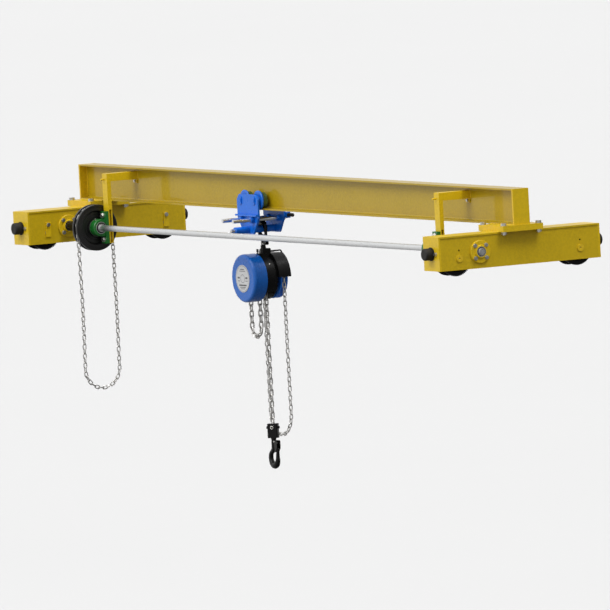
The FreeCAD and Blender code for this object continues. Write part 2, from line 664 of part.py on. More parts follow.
front_plate = frame_side(frame_front, frame_front + frame_plate)
rear_plate = frame_side(frame_rear - frame_plate, frame_rear)
for shape_name, shape in (("hoist_plate_front", front_plate), ("hoist_plate_rear", rear_plate)):
    shape = shape.cut(rod(18.05, axis_point - Y * 60, axis_point + Y * 60))
    if shape_name.endswith("front"):
        for side in (-1, 1):
            at = V(hoist_x + side * hoist_gear_distance, 0, hoist_z)
            shape = shape.cut(rod(6.05, at - Y * 60, at + Y * 60))
    save(shape_name, [shape])
band_low = frame_front + frame_plate
band_high = frame_rear - frame_plate
band = tube(frame_radius, frame_radius - 5, V(hoist_x, band_low, hoist_z), V(hoist_x, band_high, hoist_z))
band = band.cut(box(hoist_x - 88, hoist_x + 88, band_low - 1, band_high + 1, hoist_z - 130, hoist_z))
band = band.cut(box(hoist_x - 130, hoist_x - 80, band_low - 1, band_high + 1, hoist_z - 130, hoist_z + 14))
band = band.cut(box(swivel_x - 22, swivel_x + 22, band_low - 1, band_high + 1, hoist_z + 60, hoist_z + 130))
save("hoist_shell", band.Solids)
crosshead = box(swivel_x - 22, swivel_x + 22, band_low, band_high, crosshead_low, crosshead_top)
swivel_block = box(swivel_x - 15, swivel_x + 15, -12.5, 34, crosshead_top, swivel_head)
top_edges = [edge for edge in swivel_block.Edges if edge.BoundBox.ZMin > swivel_head - 0.1]
crosshead = crosshead.fuse(swivel_block.makeFillet(4.0, top_edges))
crosshead = crosshead.cut(rod(10.05, V(swivel_x, 0, crosshead_low - 1), V(swivel_x, 0, swivel_head + 1)))
stays = [crosshead]
for degrees in (20, 140, 215, 325):
    angle = math.radians(degrees)
    at = V(hoist_x + 98 * math.cos(angle), 0, hoist_z + 98 * math.sin(angle))
    stays.append(rod(6.0, at + Y * band_low, at + Y * band_high))
stays.append(rod(6.0, V(slack_anchor_x, band_low, hoist_z), V(slack_anchor_x, band_high, hoist_z)))
save("hoist_cross_members", stays)
nipple_foot = V(swivel_x - 11, frame_front + 4, crosshead_top)
nipple = rod(3.0, nipple_foot, nipple_foot + Z * 14)
nipple = nipple.fuse(rod(5.0, nipple_foot + Z * 8, nipple_foot + Z * 22))

# gear cover with its rounded edge, and the plain round label on it
cover = rod(cover_radius, axis_point + Y * cover_front, axis_point + Y * frame_front)
rim = [edge for edge in cover.Edges if edge.BoundBox.YMax < cover_front + 0.1]
cover = cover.makeFillet(15.0, rim)
cavity = rod(cover_radius - 5, axis_point + Y * (cover_front + 5), axis_point + Y * frame_front)
cavity_rim = [edge for edge in cavity.Edges if edge.BoundBox.YMax < cover_front + 5.1]
cavity = cavity.makeFillet(10.0, cavity_rim)
cover = cover.cut(cavity)
rim_flange = tube(cover_radius - 5, cover_radius - 20, axis_point + Y * (frame_front - 4),
                  axis_point + Y * frame_front)
cover = cover.fuse(rim_flange)
save("gear_cover", [cover])
save("label_disc", [rod(70.0, axis_point + Y * (cover_front - 2), axis_point + Y * cover_front)])

# ---------------------------------------------------------------- hand chain wheel of the hoist
profile = [(-14, 9), (-14, 30), (-5, 36), (-5, 88), (-17, 92), (-17, 111), (-15.5, 113)]
profile += list(reversed(chain_groove(hand_wheel_pitch, groove_half, 113)))
profile += [(19, 113), (21, 111), (21, 96), (5, 88), (5, 36), (18, 30), (18, 9)]
hoist_wheel_centre = V(hoist_x, hand_wheel_y, hoist_z)
save("hoist_hand_wheel", [lathe(profile, hoist_wheel_centre, Y)])
brake = lathe([(frame_rear + 0.5, 9), (frame_rear + 0.5, 56), (hand_wheel_y - 15, 56),
               (hand_wheel_y - 15, 30), (hand_wheel_y - 14, 30), (hand_wheel_y - 14, 9)], axis_point, Y)
save("brake_disc", [brake])
nut_at = axis_point + Y * (hand_wheel_y + 18)
wheel_nut = prism(6, 27.0, nut_at, nut_at + Y * 10)


def hoist_gear(teeth, centre, y0, y1, turn):
    """One stub-toothed gear of the hoist, on an axis along Y."""
    return gear(teeth, hoist_gear_module, 0.8, 1.1, 0.3, centre + Y * y0, centre + Y * y1, turn)


pinion_y0 = cover_front + 8
pinion_y1 = cover_front + 18
gear_y0 = cover_front + 22
gear_y1 = cover_front + 34
small_gear = hoist_gear(12, axis_point, pinion_y0, pinion_y1, 0)
pinion_shaft = rod(9.0, axis_point + Y * pinion_y0, axis_point + Y * (hand_wheel_y + 30))
save("pinion_shaft", [pinion_shaft.fuse([small_gear, wheel_nut])])

# two disc gears share the load between the pinion and the gear on the load sheave
for name, side in SIDES:
    centre = V(hoist_x + side * hoist_gear_distance, 0, hoist_z)
    big = hoist_gear(36, centre, pinion_y0, pinion_y1, math.pi / 36)
    small = hoist_gear(12, centre, pinion_y1, gear_y1, math.pi / 12)
    stub = rod(6.0, centre + Y * (pinion_y0 - 2), centre + Y * (frame_front + frame_plate))
    save("disc_gear_" + name, [big.fuse([small, stub])])
output_gear = hoist_gear(36, axis_point, gear_y0, gear_y1, 0)
output_gear = output_gear.cut(rod(9.3, axis_point - Y * 110, axis_point + Y * 110))
hub_outline = [(gear_y0, 9.3), (gear_y0, 18.0), (-20, 18.0), (-20, 44), (-14.5, 46), (14.5, 46), (20, 44),
               (20, 18.0), (29.5, 18.0), (29.5, 9.3)]
sheave = lathe(hub_outline, axis_point, Y)
sheave = sheave.cut(Part.makeTorus(sheave_radius, load_chain_radius + 0.8, axis_point, Y))
sheave = sheave.cut(tube(60.0, sheave_radius, axis_point - Y * 14.3, axis_point + Y * 14.3))
save("load_sheave", [sheave.fuse(output_gear)])

# ---------------------------------------------------------------- guard over the hoist's hand wheel
guard_front = frame_rear
guard_back = 99.0


def guard_outline(radius, flat, y0, y1):
    """The upper half of a disc with a flat cut across its top."""
    disc = rod(radius, V(hoist_x, y0, hoist_z), V(hoist_x, y1, hoist_z))
    return disc.common(box(hoist_x - 200, hoist_x + 200, y0, y1, hoist_z, hoist_z + flat))


guard = guard_outline(132.0, 121.0, guard_front, guard_back)
guard = guard.cut(guard_outline(129.0, 118.0, guard_front + 3, guard_back - 3))
guard = guard.cut(rod(106.0, axis_point + Y * (guard_front - 1), axis_point + Y * (guard_front + 4)))
guard = guard.cut(rod(34.0, axis_point + Y * (guard_back - 5), axis_point + Y * (guard_back + 1)))
slot_top = hoist_z + 125
guard = guard.cut(box(hoist_x - 42, hoist_x + 42, guard_front + 4, guard_front + 20, hoist_z + 110, slot_top))
save("hand_wheel_guard", [guard])
rail_z = hoist_z + 131
rail_x = swivel_x + 2
rail_radius = 4.0
rail_back = guard_back + rail_radius
rail = rod(rail_radius, V(rail_x, 34, rail_z), V(rail_x, rail_back - 10, rail_z))
rail_end = torus_part(10.0, rail_radius, V(rail_x, rail_back - 10, rail_z - 10), V(-1, 0, 0), Z, 90)
rail_foot = rod(rail_radius, V(rail_x, rail_back, rail_z - 10), V(rail_x, rail_back, hoist_z + 95))
save("guard_bail", [rail.fuse([rail_end, rail_foot]), nipple])

# ---------------------------------------------------------------- chains of the hoist
runs = []
for side in (-1, 1):
    x = hoist_x + side * hand_wheel_pitch
    runs.append(rod(hand_chain_radius, V(x, hand_wheel_y, hoist_loop_z), V(x, hand_wheel_y, hoist_z)))
bend = torus_part(hand_wheel_pitch, hand_chain_radius, V(hoist_x, hand_wheel_y, hoist_loop_z), Y, X, 180)
over_wheel = torus_part(hand_wheel_pitch, hand_chain_radius, hoist_wheel_centre, Y, -X, 180)
save("hoist_hand_chain", [runs[0].fuse([runs[1], bend, over_wheel])])
print("hoist hand chain radius", hand_wheel_pitch)
slack_x = hoist_x - sheave_radius
slack_radius = (slack_x - slack_anchor_x) / 2
slack_centre = V((slack_x + slack_anchor_x) / 2, 0, slack_loop_z)
slack_runs = [rod(load_chain_radius, V(slack_x, 0, slack_loop_z), V(slack_x, 0, hoist_z)),
              rod(load_chain_radius, V(slack_anchor_x, 0, slack_loop_z), V(slack_anchor_x, 0, hoist_z - 6))]
bend = torus_part(slack_radius, load_chain_radius, slack_centre, Y, X, 180)
save("slack_load_chain", [slack_runs[0].fuse([slack_runs[1], bend])])
print("slack chain radius", slack_radius)
save("load_chain", [rod(load_chain_radius, V(swivel_x, 0, block_top), V(swivel_x, 0, hoist_z))])

# ---------------------------------------------------------------- bottom block and load hook
block = box(swivel_x - 27, swivel_x + 27, -20, 20, block_bottom, block_top)
block_edges = [edge for edge in block.Edges if abs(edge.tangentAt(edge.FirstParameter).z) > 0.9]
block = block.makeFillet(7.0, block_edges)
window = box(swivel_x - 40, swivel_x + 18, -16, 16, block_bottom + 18, block_bottom + 42)
block = block.cut(window)
block = block.cut(rod(10.05, V(swivel_x, 0, block_bottom - 1), V(swivel_x, 0, block_bottom + 20)))
pin_z = block_top - 20
for side in (-1, 1):
    lug = rod(6.5, V(swivel_x + side * 20, 0, pin_z), V(swivel_x + side * 34, 0, pin_z))
    head = tube(10.0, 4.5, V(swivel_x, side * 20, pin_z), V(swivel_x, side * 23, pin_z))
    block = block.fuse([lug, head])
block.rotate(V(swivel_x, 0, 0), Z, 45)
save("hook_block", [block])
neck_height = 93.5
load_hook = hook(swivel_x, 0, hook_centre_z, 24.0, 1.15, neck_height, 1)
neck_top = V(swivel_x, 0, hook_centre_z + neck_height)
load_shank = rod(10.0, neck_top, V(swivel_x, 0, block_bottom + 36))
load_collar = rod(14.0, neck_top, V(swivel_x, 0, block_bottom - 0.5))
load_nut = rod(15.0, V(swivel_x, 0, block_bottom + 18.5), V(swivel_x, 0, block_bottom + 32))
latch_pivot = V(swivel_x + 21, 0, hook_centre_z + 82)
ear = rod(7.0, latch_pivot - Y * 6, latch_pivot + Y * 6)
ear = ear.fuse(box(swivel_x + 2, latch_pivot.x, -6, 6, latch_pivot.z - 7, latch_pivot.z + 7))
load_hook = load_hook.fuse([load_shank, load_collar, load_nut, ear])
load_hook = load_hook.cut(rod(3.05, latch_pivot - Y * 20, latch_pivot + Y * 20))
save("load_hook", [load_hook])
save("load_hook_latch", [latch(latch_pivot, V(swivel_x + 26, 0, hook_centre_z + 28), 1.15, 1)])
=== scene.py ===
import bmesh
import bpy
import json
import math
import random
from mathutils import Matrix, Vector

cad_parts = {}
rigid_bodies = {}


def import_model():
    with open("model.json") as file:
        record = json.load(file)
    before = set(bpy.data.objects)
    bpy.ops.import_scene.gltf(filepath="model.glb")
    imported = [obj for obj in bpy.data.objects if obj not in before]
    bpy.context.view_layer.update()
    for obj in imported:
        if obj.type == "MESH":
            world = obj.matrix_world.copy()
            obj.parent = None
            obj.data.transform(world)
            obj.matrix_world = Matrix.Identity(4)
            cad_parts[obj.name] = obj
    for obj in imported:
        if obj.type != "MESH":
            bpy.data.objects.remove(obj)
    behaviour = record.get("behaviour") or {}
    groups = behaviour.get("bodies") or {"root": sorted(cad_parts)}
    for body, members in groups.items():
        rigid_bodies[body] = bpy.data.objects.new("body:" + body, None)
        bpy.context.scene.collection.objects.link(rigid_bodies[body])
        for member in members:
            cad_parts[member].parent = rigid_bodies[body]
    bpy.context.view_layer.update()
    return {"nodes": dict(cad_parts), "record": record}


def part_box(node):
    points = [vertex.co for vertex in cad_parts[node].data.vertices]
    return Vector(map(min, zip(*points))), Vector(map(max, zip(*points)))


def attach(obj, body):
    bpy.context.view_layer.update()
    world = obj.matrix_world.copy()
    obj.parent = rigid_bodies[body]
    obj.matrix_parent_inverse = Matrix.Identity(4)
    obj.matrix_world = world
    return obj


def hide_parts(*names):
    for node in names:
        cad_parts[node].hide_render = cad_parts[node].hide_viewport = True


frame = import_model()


def middle(node):
    """Centre of a CAD node's box, in metres."""
    low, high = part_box(node)
    return (Vector(low) + Vector(high)) / 2


hoist_x = middle("gear_cover").x
swivel_x = middle("load_chain").x
rng = random.Random(7)
nodes = frame["nodes"]
slots = {part["node"]: part["material_slot"] for part in frame["record"]["subparts"]}
X, Y, Z = Vector((1, 0, 0)), Vector((0, 1, 0)), Vector((0, 0, 1))

# ---------------------------------------------------------------- camera
AZIMUTH, ELEVATION, ROLL = math.radians(60.72), math.radians(3.94), math.radians(-3.09)
DISTANCE = 103.1
FOCAL_MM, SENSOR_MM = 1200, 36
NEAR_CLIP, FAR_CLIP = 1, 1000
AIM_HEIGHT = 0.2186
SHIFT_RIGHT, SHIFT_DOWN = 0.0208, 0.4757
across = Vector((math.cos(AZIMUTH), math.sin(AZIMUTH), 0))
back = Vector((math.cos(ELEVATION) * math.sin(AZIMUTH), -math.cos(ELEVATION) * math.cos(AZIMUTH),
               math.sin(ELEVATION)))
above = back.cross(across)
right = across * math.cos(ROLL) + above * math.sin(ROLL)
up = above * math.cos(ROLL) - across * math.sin(ROLL)
# The camera looks at a point over the origin, shifted across the picture.
target = Vector((0, 0, AIM_HEIGHT)) + right * SHIFT_RIGHT - up * SHIFT_DOWN
lens = bpy.data.cameras.new("camera")
lens.lens = FOCAL_MM
lens.sensor_width = SENSOR_MM
lens.clip_start = NEAR_CLIP
lens.clip_end = FAR_CLIP
camera = bpy.data.objects.new("camera", lens)
turn = Matrix((right, up, back)).transposed().to_4x4()
camera.matrix_world = Matrix.Translation(target + back * DISTANCE) @ turn
bpy.context.collection.objects.link(camera)
bpy.context.scene.camera = camera


# ---------------------------------------------------------------- mesh helpers
SHARP_ANGLE = math.radians(40)


def piece(name, bm, body, slot):
    """Turn a bmesh into a named piece that rides on a body."""
    bmesh.ops.recalc_face_normals(bm, faces=bm.faces)
    mesh = bpy.data.meshes.new(name)
    bm.to_mesh(mesh)
    bm.free()
    for face in mesh.polygons:
        face.use_smooth = True
    mesh.set_sharp_from_angle(angle=SHARP_ANGLE)
    obj = bpy.data.objects.new(name, mesh)
    bpy.context.collection.objects.link(obj)
    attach(obj, body)
    slots[name] = slot
    return obj


def tube_along(bm, points, radii, sides=8, closed=False):
    """Add a round tube along points to bm, with flat ends unless closed.

    radii is one number, or one for each point.
    """
    count = len(points)
    if not hasattr(radii, "__len__"):
        radii = [radii] * count
    first = (points[1] - points[0]).normalized()
    normal = first.orthogonal().normalized()
    rings = []
    for i, p in enumerate(points):
        if closed:
            tangent = points[(i + 1) % count] - points[i - 1]
        else:
            tangent = points[min(i + 1, count - 1)] - points[max(i - 1, 0)]
        tangent.normalize()
        normal = (normal - tangent * normal.dot(tangent)).normalized()
        other = tangent.cross(normal)
        ring = []
        for k in range(sides):
            a = 2 * math.pi * k / sides
            ring.append(bm.verts.new(p + (normal * math.cos(a) + other * math.sin(a)) * radii[i]))
        rings.append(ring)
    for i in range(count if closed else count - 1):
        low, high = rings[i], rings[(i + 1) % count]
        for k in range(sides):
            bm.faces.new((low[k], low[(k + 1) % sides], high[(k + 1) % sides], high[k]))
    if not closed:
        bm.faces.new(rings[0])
        bm.faces.new(rings[-1])


def lathe(bm, profile, centre, axis, sides=64):
    """Add a closed ring turned from profile, pairs of (along the axis, radius)."""
    axis = axis.normalized()
    u = axis.orthogonal().normalized()
    v = axis.cross(u)
    rings = []
    for k in range(sides):
        a = 2 * math.pi * k / sides
        out = u * math.cos(a) + v * math.sin(a)
        rings.append([bm.verts.new(centre + axis * s + out * r) for s, r in profile])
    for k in range(sides):
        one, two = rings[k], rings[(k + 1) % sides]
        for i in range(len(profile)):
            j = (i + 1) % len(profile)
            bm.faces.new((one[i], one[j], two[j], two[i]))


# ---------------------------------------------------------------- chains
HAND_PITCH, HAND_WIRE, HAND_WIDE = 0.024, 0.0055, 0.0215
LOAD_PITCH, LOAD_WIRE, LOAD_WIDE = 0.029, 0.008, 0.027
ROUTE_STEPS = 24
LINK_STEPS = 8
LINK_WELD = 1.12
LINK_LEAN = 5
SWAY_BACK = 0.6
RISE_RUN = 0.3
CORNER = math.tan(math.radians(22.5))


def route(name, points):
    """The smooth line of a hanging chain, read from a NURBS spline with these control points."""
    curve = bpy.data.curves.new(name, "CURVE")
    curve.dimensions = "3D"
    curve.resolution_u = ROUTE_STEPS
    spline = curve.splines.new("NURBS")
    spline.points.add(len(points) - 1)
    for point, p in zip(spline.points, points):
        point.co = (p[0], p[1], p[2], 1)
    spline.order_u = 3
    spline.use_endpoint_u = True
    holder = bpy.data.objects.new(name, curve)
    bpy.context.collection.objects.link(holder)
    mesh = bpy.data.meshes.new_from_object(holder)
    line = [Vector(v.co) for v in mesh.vertices]
    bpy.data.objects.remove(holder)
    bpy.data.meshes.remove(mesh)
    return line


def length_of(line):
    return sum((b - a).length for a, b in zip(line, line[1:]))


def stations(line, distances):
    """(place, direction) at each distance along a line of points."""
    found, run, i = [], 0.0, 0
    for d in distances:
        while i < len(line) - 2 and run + (line[i + 1] - line[i]).length < d:
            run += (line[i + 1] - line[i]).length
            i += 1
        step = line[i + 1] - line[i]
        found.append((line[i] + step.normalized() * (d - run), step.normalized()))
    return found


def link(bm, place, ahead, wide, pitch, wire, width):
    """Add one chain link, thicker at its weld; wide is the direction of its width."""
    half = (width - wire) / 2
    reach = (pitch + wire) / 2 - half
    points = []
    for end in (1, -1):
        for k in range(LINK_STEPS + 1):
            a = math.pi * k / LINK_STEPS - math.pi / 2
            along = end * (reach + half * math.cos(a))
            points.append(place + ahead * along + wide * (end * half * math.sin(a)))
    radii = [wire / 2] * len(points)
    radii[0] = wire / 2 * LINK_WELD
    tube_along(bm, points, radii, 8, True)


def chain(name, line, spots, first, plane, sizes, body):
    """One mesh of links at spots; odd and even links stand at right angles to each other."""
    bm = bmesh.new()
    for i, (place, ahead) in enumerate(spots):
        side = plane.cross(ahead).normalized()
        lean = math.radians(rng.uniform(-LINK_LEAN, LINK_LEAN))
        if (first + i) % 2:
            lean += math.pi / 2
        wide = plane * math.cos(lean) + side * math.sin(lean)
        link(bm, place, ahead, wide, *sizes)
    return piece(name, bm, body, "chain_steel")


def arc(centre, u, v, radius, rise, steps=48):
    """Points of the half circle from +u over v to -u, which rides up by rise clear of its two ends."""
    points = []
    for k in range(steps + 1):
        a = math.pi * k / steps
        reach = radius + rise * min(1.0, math.sin(a) / RISE_RUN)
        points.append(centre + u * (reach * math.cos(a)) + v * (reach * math.sin(a)))
    return points


def hand_chain(name, node, centre, u, radius, rise, low, sway, plane, body):
    """An endless hand chain: the hanging loop, and the links lying over the top of its wheel."""
    k = radius * CORNER
    drop = centre.z - low
    flat = [(-radius, 0.0)]
    for share, offset in sway:
        flat.append((-radius + offset, -drop * share))
    flat += [(-radius, k - drop), (-radius, -k - drop), (-k, -radius - drop)]
    flat += [(k, -radius - drop), (radius, -k - drop), (radius, k - drop)]
    for share, offset in reversed(sway):
        flat.append((radius + offset * SWAY_BACK, -drop * share))
    flat.append((radius, 0.0))
    line = route(name + "_route", [centre + u * a + Z * b for a, b in flat])
    wrap = arc(centre, u, Z, radius, rise)
    hanging = length_of(line)
    whole = hanging + length_of(wrap)
    count = 2 * round(whole / HAND_PITCH / 2)
    step = whole / count
    sizes = (step, HAND_WIRE, HAND_WIDE)
    spots = [step * (i + 0.5) for i in range(count)]
    free = [s for s in spots if s < hanging]
    over = [s - hanging for s in spots if s >= hanging]
    loop = chain(name, line, stations(line, free), 0, plane, sizes, body)
    chain(name + "_on_wheel", wrap, stations(wrap, over), len(free), plane, sizes, body)
    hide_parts(node)
    print(name, "hanging", round(hanging, 4), "whole", round(whole, 4), "links", count)
    return loop, line


DRIVE_X, DRIVE_Y, DRIVE_Z = -1.7635, -0.22923, 0.1006
DRIVE_RADIUS, DRIVE_RISE, DRIVE_LOW = 0.100, 0.0055, -0.6254
LIFT_RADIUS, LIFT_RISE, LIFT_LOW = 0.106, 0.0, -0.8349
HOIST_Z, LIFT_Y = -0.1304, 0.069
# How far down each run, as a share of its drop, the chain swings out and by how much.
DRIVE_SWAY = ((0.3, 0.001), (0.5, 0.004), (0.75, 0.003))
LIFT_SWAY = ((0.3, -0.001), (0.5, -0.003), (0.75, -0.001))
drive_centre = Vector((DRIVE_X, DRIVE_Y, DRIVE_Z))
hoist_centre = Vector((hoist_x, LIFT_Y, HOIST_Z))
drive_chain, drive_line = hand_chain(
    "long_travel_chain", "drive_hand_chain", drive_centre, Y, DRIVE_RADIUS, DRIVE_RISE, DRIVE_LOW,
    DRIVE_SWAY, X, "bridge")
lift_chain, lift_line = hand_chain(
    "lifting_hand_chain", "hoist_hand_chain", hoist_centre, X, LIFT_RADIUS, LIFT_RISE, LIFT_LOW,
    LIFT_SWAY, Y, "hoist")

# The slack loop hangs from the load sheave's far side to its anchor on the hoist.
SHEAVE_IN, ANCHOR_IN, ANCHOR_Z = 0.033, 0.1266, -0.1364
SLACK_LOW, SLACK_BELLY_Z = -0.3894, -0.26
SHEAVE_BELLY, ANCHOR_BELLY = -0.0005, 0.0004
FALL_HEIGHTS = (HOIST_Z, -0.3, -0.6, -0.8784)
sheave_x, anchor_x = hoist_x - SHEAVE_IN, hoist_x - ANCHOR_IN
slack_radius = (sheave_x - anchor_x) / 2
slack_k = slack_radius * CORNER
slack_mid = (sheave_x + anchor_x) / 2
slack_points = [(sheave_x, HOIST_Z), (sheave_x + SHEAVE_BELLY, SLACK_BELLY_Z)]
slack_points += [(sheave_x, SLACK_LOW + slack_k)]
slack_points += [(sheave_x, SLACK_LOW - slack_k), (slack_mid + slack_k, SLACK_LOW - slack_radius)]
slack_points += [(slack_mid - slack_k, SLACK_LOW - slack_radius), (anchor_x, SLACK_LOW - slack_k)]
slack_points += [(anchor_x, SLACK_LOW + slack_k), (anchor_x + ANCHOR_BELLY, SLACK_BELLY_Z)]
slack_points += [(anchor_x, ANCHOR_Z)]
slack_line = route("slack_route", [Vector((a, 0, b)) for a, b in slack_points])
load_line = route("load_route", [Vector((swivel_x, 0, z)) for z in FALL_HEIGHTS])


def load_fall(name, node, line, body):
    """A stretch of load chain, its links spaced evenly over the whole line."""
    total = length_of(line)
    count = round(total / LOAD_PITCH)
    step = total / count
    spots = stations(line, [step * (i + 0.5) for i in range(count)])
    made = chain(name, line, spots, 0, Y, (step, LOAD_WIRE, LOAD_WIDE), body)
    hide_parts(node)
    print(name, "length", round(total, 4), "links", count)


load_fall("slack_chain_loop", "slack_load_chain", slack_line, "hoist")
load_fall("load_chain_fall", "load_chain", load_line, "hook_lift")


# ---------------------------------------------------------------- welds and small fittings
BEAD_RADIUS, RIPPLE_LENGTH = 0.0035, 0.004


def bead(bm, start, end):
    """Add a weld bead with its ripples from start to end."""
    run = end - start
    count = max(4, round(run.length / RIPPLE_LENGTH))
    points, radii = [], []
    for i in range(count + 1):
        points.append(start + run * (i / count))
        ripple = 0.82 + 0.18 * (i % 2) + rng.uniform(-0.05, 0.05)
        radii.append(BEAD_RADIUS * (0.4 if i in (0, count) else ripple))
    tube_along(bm, points, radii, 8)


def frame_of_beads(bm, low, high, axis):
    """Beads round the four edges of a flat rectangle square to axis (0 for X, 1 for Y, 2 for Z)."""
    one, two = [i for i in range(3) if i != axis]
    corners = []
    for a, b in ((low[one], low[two]), (high[one], low[two]), (high[one], high[two]), (low[one], high[two])):
        corner = Vector(low)
        corner[one], corner[two] = a, b
        corners.append(corner)
    for i in range(4):
        bead(bm, corners[i], corners[(i + 1) % 4])


def both_ends(node):
    """The boxes of the left and the right one of a pair of parts in one node."""
    found = []
    mesh = nodes[node].data
    for side in (-1, 1):
        points = [v.co for v in mesh.vertices if v.co.x * side > 0]
        low = Vector([min(p[i] for p in points) for i in range(3)])
        high = Vector([max(p[i] for p in points) for i in range(3)])
        found.append((low, high))
    return found


FLANGE_HALF = 0.0455
WEB_HALF = 0.00265
FOOT_BEAD_END = 2.238
WEB_BEAD_GAP = 0.018
BRACKET_HEAD = 0.040
HEAD_BEAD_GAP = 0.004
bm = bmesh.new()
for low, high in both_ends("girder_foot_plates"):
    inner, outer = sorted((low.x, high.x), key=abs)
    for y in (-FLANGE_HALF, FLANGE_HALF):
        bead(bm, Vector((inner, y, high.z)), Vector((math.copysign(FOOT_BEAD_END, inner), y, high.z)))
for low, high in both_ends("girder_end_plates"):
    inside = min((low.x, high.x), key=abs)
    for y in (-WEB_HALF, WEB_HALF):
        bead(bm, Vector((inside, y, low.z + WEB_BEAD_GAP)), Vector((inside, y, high.z - WEB_BEAD_GAP)))
for low, high in both_ends("shaft_brackets"):
    frame_of_beads(bm, Vector((low.x, high.y, high.z - BRACKET_HEAD)), Vector((high.x, high.y, high.z)), 1)
for low, high in both_ends("carriage_head_plates"):
    carriage_low, carriage_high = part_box("carriage_left" if low.x < 0 else "carriage_right")
    for y in (low.y, high.y):
        bead(bm, Vector((carriage_low[0] + HEAD_BEAD_GAP, y, low.z)),
             Vector((carriage_high[0] - HEAD_BEAD_GAP, y, low.z)))
piece("frame_weld_beads", bm, "bridge", "yellow_paint")

cover_low, cover_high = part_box("gear_cover")
hoist_centre_z = (cover_low[2] + cover_high[2]) / 2
SHELL_RADIUS = 0.115
# Each screw head is a radius and a height; profiles are pairs of (along the axis, radius).
SHELL_SCREW = (0.0042, 0.003)
TAB_PIN = (0.0034, 0.021)
RIVET = (0.0042, 0.0022)
TINY = 0.0004
PIN_RING = [(-0.002, 0.0046), (-0.002, 0.0088), (0.0012, 0.0088), (0.0024, 0.0072), (0.0024, 0.0058),
            (0.0012, 0.0046)]
# A thin bright ring at the edge of the pillow block's end face: a painted highlight standing in for the
# light edge of the green body.
EDGE_HIGHLIGHT_RING = [(-0.0006, 0.0405), (-0.0006, 0.0447), (0.0012, 0.0447), (0.0012, 0.0405)]
NIPPLE = [(-0.004, TINY), (-0.004, 0.0035), (0.003, 0.0035), (0.003, 0.0022), (0.007, 0.0022),
          (0.0085, 0.003), (0.0105, 0.002), (0.0105, TINY)]


def screw_head(bm, at, out, radius, height):
    """Add a domed screw head standing on at."""
    steps = 5
    profile = [(-0.001, TINY), (-0.001, radius), (height * 0.45, radius)]
    for i in range(1, steps + 1):
        a = math.pi / 2 * i / steps
        profile.append((height * (0.45 + 0.55 * math.sin(a)), max(TINY, radius * math.cos(a))))
    lathe(bm, profile, at, out, 24)


def shell_screw(bm, degrees, y):
    """Add a screw head on the hoist's round shell."""
    out = Vector((math.cos(math.radians(degrees)), 0, math.sin(math.radians(degrees))))
    screw_head(bm, Vector((hoist_x, y, hoist_centre_z)) + out * SHELL_RADIUS, out, *SHELL_SCREW)


bm = bmesh.new()
for degrees, y in ((23, 0.017), (8, -0.012), (-14, 0.014)):
    shell_screw(bm, degrees, y)
piece("hoist_frame_screws", bm, "hoist", "black_paint")

bm = bmesh.new()
shell_screw(bm, 37, -0.002)
tab_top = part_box("hoist_plate_front")[1][2]
screw_head(bm, Vector((swivel_x - 0.011, -0.0195, tab_top)), Z, *TAB_PIN)
piece("hoist_frame_pins", bm, "hoist", "zinc_bolts")

block_low, block_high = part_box("hook_block")
pin_z = block_high[2] - 0.020
face_out = Vector((math.sqrt(0.5), -math.sqrt(0.5), 0))
bm = bmesh.new()
for side in (-1, 1):
    centre = Vector((swivel_x, 0, pin_z)) + face_out * (side * 0.0232)
    lathe(bm, PIN_RING, centre, face_out * side, 40)
piece("chain_pin_rings", bm, "hook_lift", "zinc_bolts")

# A pivot lies inward from its latch's low x, and down from the top, or up from the foot if down is negative.
LATCHES = (("load_latch_rivets", "load_hook_latch", "lower_latch", 0.0058, 0.0069),
           ("top_latch_rivets", "top_hook_latch", "top_latch", 0.005, -0.006))
for name, node, body, inward, down in LATCHES:
    latch_low, latch_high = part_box(node)
    pivot_z = (latch_high[2] if down > 0 else latch_low[2]) - down
    pivot_x = latch_low[0] + inward
    bm = bmesh.new()
    for side in (-1, 1):
        y = latch_high[1] if side > 0 else latch_low[1]
        screw_head(bm, Vector((pivot_x, y, pivot_z)), Y * side, *RIVET)
    piece(name, bm, body, "zinc_bolts")

# The bright ring laid on the pillow block's end face is a painted highlight of its edge, not a fitted part.
block_x = both_ends("pillow_blocks")[0][0].x
bm = bmesh.new()
lathe(bm, EDGE_HIGHLIGHT_RING, Vector((block_x - 0.0006, drive_centre.y, drive_centre.z)), X, 96)
piece("pillow_block_edge_highlight", bm, "bridge", "zinc_bolts")

bm = bmesh.new()
for low, high in both_ends("pillow_blocks"):
    at = Vector(((low.x + high.x) / 2, drive_centre.y - 0.020, drive_centre.z + 0.039))
    lathe(bm, NIPPLE, at, Vector((0, -0.42, 0.91)), 20)
piece("grease_nipples", bm, "bridge", "zinc_bolts")


